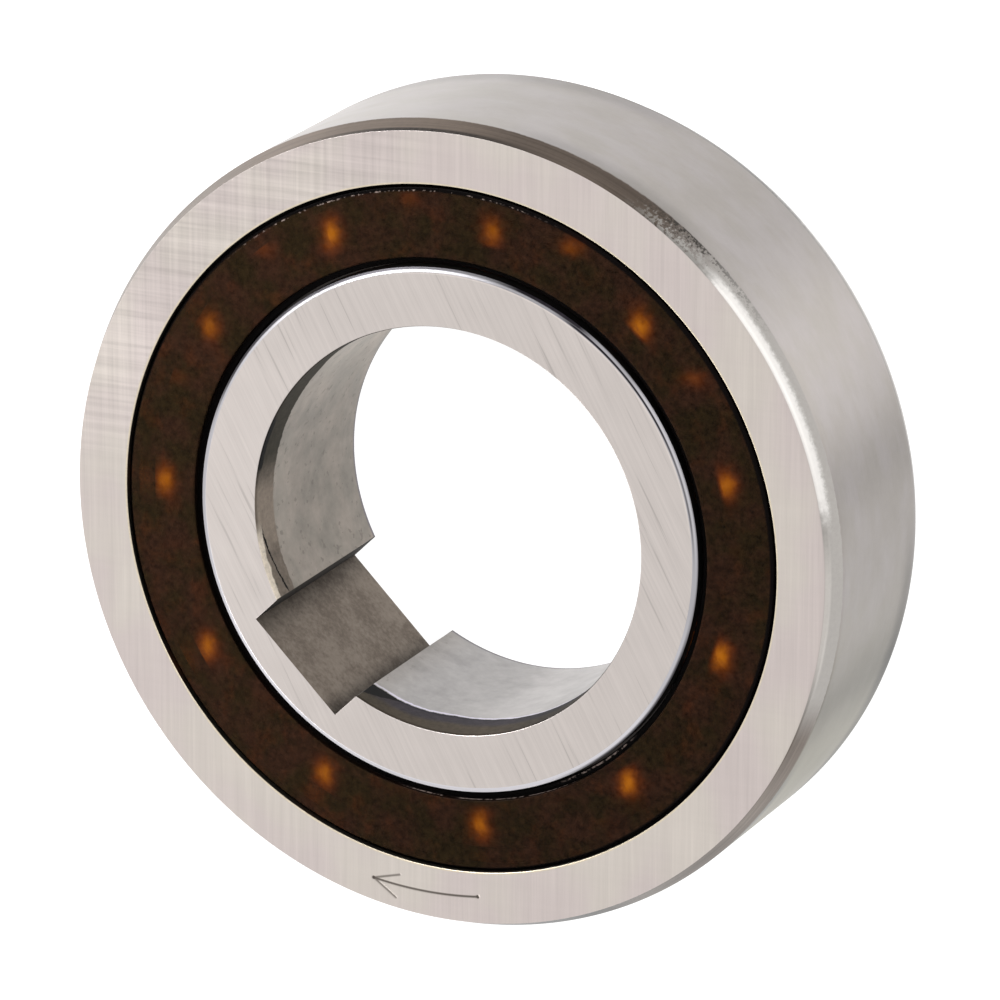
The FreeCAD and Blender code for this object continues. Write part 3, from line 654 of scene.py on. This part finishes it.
def cage_finish():
    """Amber moulded plastic with painted glints, emitted light at its front: over each ball, and faintly
    between.
    """
    f = Finish("amber_cage_plastic")
    blur = f.noise(0.9, 0.9, 0.9, detail=3, seed=14.0)
    painted_glint, number = painted_glint_spot(f, blur, 0.0, wide=0.92, tall=1.25)
    faint, other = painted_glint_spot(f, blur, 0.5, wide=1.1, tall=0.75, lift=2.1)
    uneven = f.node("ShaderNodeTexWhiteNoise", {"noise_dimensions": "1D"}, {"W": number + 20.0})
    rare = f.node("ShaderNodeTexWhiteNoise", {"noise_dimensions": "1D"}, {"W": other + 40.0})
    front = f.z.rises(3.0, 6.0) * f.radius.rises(CAGE_INSIDE, CAGE_INSIDE + 0.7)
    upper = f.angle.between(20.0, 160.0, 12.0)
    # Painted glints: the cage's front gives off amber light over each ball, and faintly between, more on the
    # upper side.
    strength = (painted_glint * (0.7 + 0.4 * uneven) + faint * (upper * (0.14 + 0.28 * rare) + 0.03)) * front
    grain = f.noise(3.0, 3.0, 3.0, detail=3, seed=2.0)
    clouds = f.noise(0.4, 0.4, 0.4, detail=2, seed=6.0)
    amber = f.mix(strength, shade(205, 78, 3), shade(255, 146, 5))
    colour = f.mix(clouds.rises(-0.2, 0.2), shade(60, 34, 14), shade(74, 40, 16))
    return f.done(
        Base_Color=f.dim(colour, 1 + grain * 0.3),
        Roughness=0.42 + grain * 0.2,
        Specular_IOR_Level=0.3,
        Emission_Color=f.dim(amber, strength),
        Emission_Strength=18.0,
        Normal=f.bump(grain, 0.01),
    )


def ball_finish():
    """Polished bearing steel with the faint orbits that rolling leaves on a ball."""
    f = Finish("polished_ball_steel")
    haze = f.noise(0.5, 0.5, 0.5, detail=3, seed=4.0)
    tracks = f.noise(0.4, 0.4, 9.0, detail=2, seed=9.0)
    colour = f.dim(shade(214, 212, 208), 1 + haze * 0.14 + tracks * 0.06)
    return f.done(Base_Color=colour, Metallic=1.0, Roughness=0.12 + haze * 0.1, Normal=f.bump(tracks, 0.001))


def sprag_finish():
    """Hard drawn steel, with lines along the sprag and a rubbed band where the cams meet the tracks."""
    f = Finish("hard_sprag_steel")
    drawn = f.noise(7.0, 7.0, 0.12, detail=3, seed=3.0)
    haze = f.noise(0.6, 0.6, 0.5, detail=3, seed=8.0)
    rubbed = f.radius.rises(OUTER_TRACK - 0.6, OUTER_TRACK - 0.2)
    rubbed = rubbed + f.radius.rises(INNER_TRACK + 0.6, INNER_TRACK + 0.2)
    colour = f.mix(rubbed * 0.6, shade(158, 154, 148), shade(206, 203, 198))
    colour = f.dim(colour, 1 + drawn * 0.2 + haze * 0.2)
    roughness = 0.34 - rubbed * 0.12 + haze * 0.1
    return f.done(Base_Color=colour, Metallic=1.0, Roughness=roughness, Normal=f.bump(drawn, 0.003))


def spring_finish():
    """Bright spring wire, a little uneven in tone and gloss."""
    f = Finish("bright_spring_wire")
    haze = f.noise(0.5, 0.5, 0.5, detail=3, seed=2.0)
    streaks = f.noise(5.0, 5.0, 5.0, detail=2, seed=7.0)
    colour = f.dim(shade(196, 193, 186), 1 + haze * 0.2 + streaks * 0.2)
    roughness = 0.26 + haze * 0.15
    return f.done(Base_Color=colour, Metallic=1.0, Roughness=roughness, Normal=f.bump(streaks, 0.002))


# Pieces.

# The arrow cut into the marked face: a shaft that drifts off its circle, two barbs from its tip, and
# a dot at each end of the shaft. A cut is flat over a share of its half width and eases out over one
# half width more. The shaft and the barbs reach down by a share of the depth.
ARROW_CIRCLE = 36.95
ARROW_DRIFT = 0.023
ARROW_TIP, ARROW_TAIL = 123.3, 140.63
ARROW_TAIL_CIRCLE = 36.55
ARROW_BARBS = ((35.76, 127.44), (38.21, 127.31))
ARROW_HALF_WIDTH = 0.15
ARROW_FLAT = 0.3
ARROW_DEPTH = 0.05
SHAFT_SHARE, BARB_SHARE = 0.75, 0.6
DOT_RADIUS = 0.06

# The marked face has a finer grid for the arrow: in to this radius, in this many rows, and with this
# step of the angle.
ARROW_GRID_INSIDE = 35.4
ARROW_GRID_ROWS = 49
ARROW_GRID_STEP = 0.1

# The lead-in's corners are worn round on this side, as an angle in the picture.
WORN_MIDDLE = 18.0
WORN_HALF = 38.0


def arrow_cut(radius, angle):
    """How far the arrow's cut reaches down at (radius, angle), from 0 to 1.

    For each stroke and dot it is 1 minus a smooth step of the distance from its middle, times the
    stroke's share. The deepest counts.
    """
    turn = np.radians(angle)
    x, y = radius * np.cos(turn), radius * np.sin(turn)
    over = np.maximum(ARROW_TIP - angle, angle - ARROW_TAIL).clip(0)
    circle = ARROW_CIRCLE - ARROW_DRIFT * (angle - ARROW_TIP)
    shaft = np.hypot(radius - circle, np.radians(over) * radius)
    tip = on_circle(ARROW_CIRCLE, ARROW_TIP)
    tail = on_circle(ARROW_TAIL_CIRCLE, ARROW_TAIL)
    barbs = [from_stretch(x, y, tip, on_circle(*end)) for end in ARROW_BARBS]

    def cut(distance):
        """1 in a stroke's middle, and 0 beyond its edge."""
        t = np.clip(1 + ARROW_FLAT - distance / ARROW_HALF_WIDTH, 0, 1)
        return t * t * (3 - 2 * t)

    dots = [cut(np.hypot(x - end[0], y - end[1]) - DOT_RADIUS) for end in (tip, tail)]
    return np.maximum.reduce([SHAFT_SHARE * cut(shaft), *(BARB_SHARE * cut(barb) for barb in barbs), *dots])


def outer_ring_section(worn):
    """The outer ring's whole section, with crisp or worn corners at the lead-in.

    The flat of the marked face is split where the finer grid goes in.
    """
    centre = PITCH + BALL + BALL_PLAY - GROOVE
    corners = (
        (OUTSIDE, 0), (OUTSIDE, LEAD_IN_START), (LEAD_IN_EDGE, FACE), (RING_EDGE, FACE),
        (SHIELD_SEAT, RING_EDGE_FLOOR), (SHIELD_SEAT, SNAP_TOP), (SNAP_GROOVE, SNAP_TOP),
        (SNAP_GROOVE, SEAT_HEIGHT), (OUTER_TRACK, SEAT_HEIGHT),
        (OUTER_TRACK, groove_edge(centre, OUTER_TRACK)),
    )
    lead_in = (0.6, 0.48) if worn else (0.1, 0.005)
    grid_outside = 38.2 if worn else 38.5
    upper = softened(corners, (*lead_in, 0.06, 0.06, 0.03, 0.03, 0.03, 0.03))
    beyond_grid = (upper[:, 1] >= FACE - 1e-9) & (upper[:, 0] > grid_outside)
    split = np.flatnonzero(beyond_grid)[-1] + 1
    grid = np.linspace((grid_outside, FACE), (ARROW_GRID_INSIDE, FACE), ARROW_GRID_ROWS)
    lower = upper[::-1][:-1] * (1, -1)
    return np.vstack([upper[:split], grid, upper[split:], groove_arc(centre, 1), lower])


def make_outer_ring():
    """The outer ring's section carried round the axis, with the arrow cut into the marked face."""
    crisp, worn = outer_ring_section(False), outer_ring_section(True)
    angles = even_angles(extra=[np.arange(ARROW_TIP - 1.8, ARROW_TAIL + 1.87, ARROW_GRID_STEP)])
    picture = (angles + PICTURE_TURN + 180) % 360 - 180
    t = np.clip(1.5 - np.abs(picture - WORN_MIDDLE) / WORN_HALF, 0, 1)[:, None, None]
    section = crisp + (worn - crisp) * t * t * (3 - 2 * t)
    points = carried_round(section, angles)
    cut = arrow_cut(section[:, :, 0], angles[:, None]) * (section[:, :, 1] >= FACE - 1e-9)
    points[:, :, 2] -= cut * ARROW_DEPTH
    finish = outer_ring_finish()
    ring = closed_skin("outer_ring_ground", points, "outer_ring", finish, "outer_ring")
    mark = ring.data.attributes.new("mark", "FLOAT", "POINT")
    mark.data.foreach_set("value", cut.astype(np.float32).ravel())


def keyway_wall(angles):
    """Distance of the keyway's floor or walls from the axis at each angle, and 0 beside the keyway.

    The floor is y = 22.5, at 22.5 / cos(a) from the axis, and a wall is x = 6, at 6 / sin(a), where
    a is the angle from +Y. The nearer of the two bounds the keyway.
    """
    turn = np.radians(angles - 90)
    ahead = np.cos(turn) > 0.8
    side = np.abs(np.sin(turn)).clip(1e-6)
    return np.where(ahead, np.minimum(KEYWAY_FLOOR / np.cos(turn).clip(0.1), KEYWAY_HALF / side), 0.0)


# The keyway's edge at the marked face is broken by this share of the bore's own lead-in, and the face
# is stretched over it as far out as this radius. The skin has angles where the keyway's wall is at
# each of the wall radii.
KEYWAY_BREAK = 0.25
STRETCH_END = 25.4
WALL_RADII = np.array([23.0, 22.4, 21.6, 20.9, 20.3, 20.2, BORE])


def keyway_angles():
    """Angles from the keyway's middle to just past its edge, on one side."""
    corner = math.degrees(math.atan2(KEYWAY_HALF, KEYWAY_FLOOR))
    wall = np.degrees(np.arcsin(KEYWAY_HALF / WALL_RADII))
    return np.concatenate([np.linspace(0, corner, 13), wall, wall[-1:] + 0.3])


def make_inner_ring():
    """The inner ring's section carried round the axis. The keyway pushes the bore's side outwards.

    A point on the bore's side moves out to the keyway's wall where that is further from the axis.
    The marked face stretches between its moved inner edge and its own outer edge.
    """
    centre = PITCH - BALL - BALL_PLAY + GROOVE
    upper = softened(
        (
            (INNER_TRACK, groove_edge(centre, INNER_TRACK)), (INNER_TRACK, LAND_FLOOR),
            (SEAL_LAND, LAND_FLOOR), (SEAL_LAND, BEVEL_FLOOR), (BEVEL_EDGE, FACE), (FACE_EDGE, FACE),
            *FLARE, (BORE, 0),
        ),
        setback=(0.05, 0.05, 0.04, 0.04, 0.05, 0.05, 0.02, 0.02, 0.1),
    )
    section = np.vstack([both_sides(upper[:-1]), groove_arc(centre, -1)])
    angles = even_angles(extra=[90 - keyway_angles(), 90 + keyway_angles()])
    wall = keyway_wall(angles)[:, None]
    radius, height = section.T
    pushed = np.maximum(radius, wall + KEYWAY_BREAK * (radius - BORE_LEAD).clip(0))
    moved_edge = np.maximum(FACE_EDGE, wall + KEYWAY_BREAK * (FACE_EDGE - BORE_LEAD))
    share = ((STRETCH_END - radius) / (STRETCH_END - FACE_EDGE)).clip(0, 1)
    stretched = radius + share * (moved_edge - FACE_EDGE)
    moved = np.where(radius <= FACE_EDGE + 1e-6, pushed, stretched)
    section = np.stack([moved, np.broadcast_to(height, moved.shape)], axis=2)
    points = carried_round(section, angles)
    finish = inner_ring_finish()
    closed_skin("inner_ring_ground", points, "inner_ring", finish, "inner_ring")


def make_shield(name, side, finish):
    """A shield's section carried round the axis. side is 1 at the marked face and -1 behind."""
    lip, front_inside, middle, front_outside, rim = SEAL_LAND + 0.25, 26.85, 30.0, 33.75, 34.5
    flange, front, rim_bevel = 10.1, 10.75, 0.275
    section = softened(
        (
            (middle, SEAT_HEIGHT), (rim, SEAT_HEIGHT), (rim, flange - rim_bevel), (rim - rim_bevel, flange),
            (front_outside, flange), (front_outside, front), (front_inside, front), (front_inside, flange),
            (lip, flange), (lip, SEAT_HEIGHT), (middle - 0.1, SEAT_HEIGHT),
        ),
        setback=(0.05, 0.05, 0.05, 0.05, 0.2, 0.2, 0.05, 0.08, 0.05),
    )
    section = section if side > 0 else section[::-1] * (1, -1)
    points = carried_round(section, even_angles())
    closed_skin(f"{name}_moulded", points, "outer_ring", finish, name)


def make_spring(name, side, finish):
    """A garter spring: a round wire wound about a circle and closed on itself.

    Along the wire, t runs once round the circle while the coil turns `turns` times. The wire's
    middle is at radius R + c cos(turns t) and height h + c sin(turns t), with R and h for the
    circle's radius and height and c for the coil's radius less the wire's. The skin stands off that
    by the wire's radius, in the plane across the wire.
    """
    turns, per_turn, sides = 540, 10, 5
    t = np.linspace(0, 2 * np.pi, turns * per_turn, endpoint=False)[:, None]
    coil = turns * t
    outward = np.concatenate([np.cos(t), np.sin(t), 0 * t], axis=1)
    axial = np.array([[0.0, 0.0, 1.0]])
    spoke = np.cos(coil) * outward + np.sin(coil) * axial
    middle = SPRING_CIRCLE * outward + (SPRING_COIL - SPRING_WIRE) * spoke
    middle[:, 2] += side * SPRING_HEIGHT
    ahead = np.roll(middle, -1, axis=0) - np.roll(middle, 1, axis=0)
    ahead /= np.linalg.norm(ahead, axis=1, keepdims=True)
    across = np.cross(ahead, spoke)
    across /= np.linalg.norm(across, axis=1, keepdims=True)
    up = np.cross(across, ahead)
    turn = np.linspace(0, 2 * np.pi, sides, endpoint=False)[None, :, None]
    skin = middle[:, None] + SPRING_WIRE * (np.cos(turn) * up[:, None] + np.sin(turn) * across[:, None])
    closed_skin(f"{name}_coils", skin, "cage", finish, name, crease=89.0)


def dress_solids():
    """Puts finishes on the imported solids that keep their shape: balls, sprags and the cage's pieces."""
    finishes = {"ball": ball_finish(), "sprag": sprag_finish(), "cage": cage_finish()}
    for name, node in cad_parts.items():
        finish = finishes.get(name.split("_")[0])
        if finish:
            node.data.materials.clear()
            node.data.materials.append(finish)


def make_pieces():
    """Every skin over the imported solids, and the finishes of the solids that stay."""
    make_outer_ring()
    make_inner_ring()
    brown = shield_finish()
    make_shield("front_shield", 1, brown)
    make_shield("rear_shield", -1, brown)
    wire = spring_finish()
    make_spring("front_garter_spring", 1, wire)
    make_spring("rear_garter_spring", -1, wire)
    dress_solids()


# The studio.


def make_floor():
    """A pale table under the clutch, lit evenly enough to read as white."""
    reach, level = 4000.0, -FACE - 0.02
    ways = ((-1, -1), (1, -1), (1, 1), (-1, 1))
    corners = np.array([(reach * across, reach * along, level) for across, along in ways])
    mesh = bpy.data.meshes.new("table")
    mesh.from_pydata(corners * MM, [], [(0, 1, 2, 3)])
    table = bpy.data.objects.new("table", mesh)
    bpy.context.scene.collection.objects.link(table)
    material = bpy.data.materials.new("pale_table")
    material.use_nodes = True
    shader = material.node_tree.nodes["Principled BSDF"]
    shader.inputs["Base Color"].default_value = (0.25, 0.25, 0.25, 1)
    shader.inputs["Roughness"].default_value = 0.9
    shader.inputs["Specular IOR Level"].default_value = 0.0
    shader.inputs["Emission Color"].default_value = (1, 1, 1, 1)
    shader.inputs["Emission Strength"].default_value = 0.97
    mesh.materials.append(material)


def in_picture(across, along, height):
    """A place given on the picture's axes, in the model's frame."""
    turn = math.radians(-PICTURE_TURN)
    x = across * math.cos(turn) - along * math.sin(turn)
    y = across * math.sin(turn) + along * math.cos(turn)
    return x, y, height


def make_light(name, place, side, power):
    """A soft square panel at the place, turned towards the clutch."""
    data = bpy.data.lights.new(name, "AREA")
    data.shape = "SQUARE"
    data.size = side * MM
    data.energy = power
    lamp = bpy.data.objects.new(name, data)
    lamp.location = Vector(place) * MM
    lamp.rotation_mode = "QUATERNION"
    lamp.rotation_quaternion = Vector(place).to_track_quat("Z", "Y")
    bpy.context.scene.collection.objects.link(lamp)


def make_studio():
    """An even, slightly warm surround, three soft panels and the table."""
    world = bpy.data.worlds.new("studio")
    world.use_nodes = True
    backdrop = world.node_tree.nodes["Background"]
    backdrop.inputs["Color"].default_value = (1.0, 0.995, 0.985, 1)
    backdrop.inputs["Strength"].default_value = 0.85
    bpy.context.scene.world = world
    make_light("key", in_picture(700, 330, 520), side=260, power=1.8)
    make_light("left", in_picture(-700, -520, 380), side=200, power=1.6)
    make_light("upper", in_picture(-170, 190, 150), side=120, power=1.0)
    make_floor()


def make_camera():
    """The camera at the photograph's place, looking against the cross product of its two axes."""
    data = bpy.data.cameras.new("camera")
    data.sensor_width = 36.0
    data.lens = CAMERA_LENS
    data.clip_start, data.clip_end = 0.01, 50.0
    camera = bpy.data.objects.new("camera", data)
    right = Vector(CAMERA_RIGHT).normalized()
    back = right.cross(Vector(CAMERA_UP)).normalized()
    up = back.cross(right)
    turn = Matrix((right, up, back)).transposed().to_4x4()
    camera.matrix_world = Matrix.Translation(Vector(CAMERA_PLACE) * MM) @ turn
    bpy.context.scene.collection.objects.link(camera)
    bpy.context.scene.camera = camera


make_pieces()
make_studio()
make_camera()
bpy.context.scene.view_settings.view_transform = "Standard"
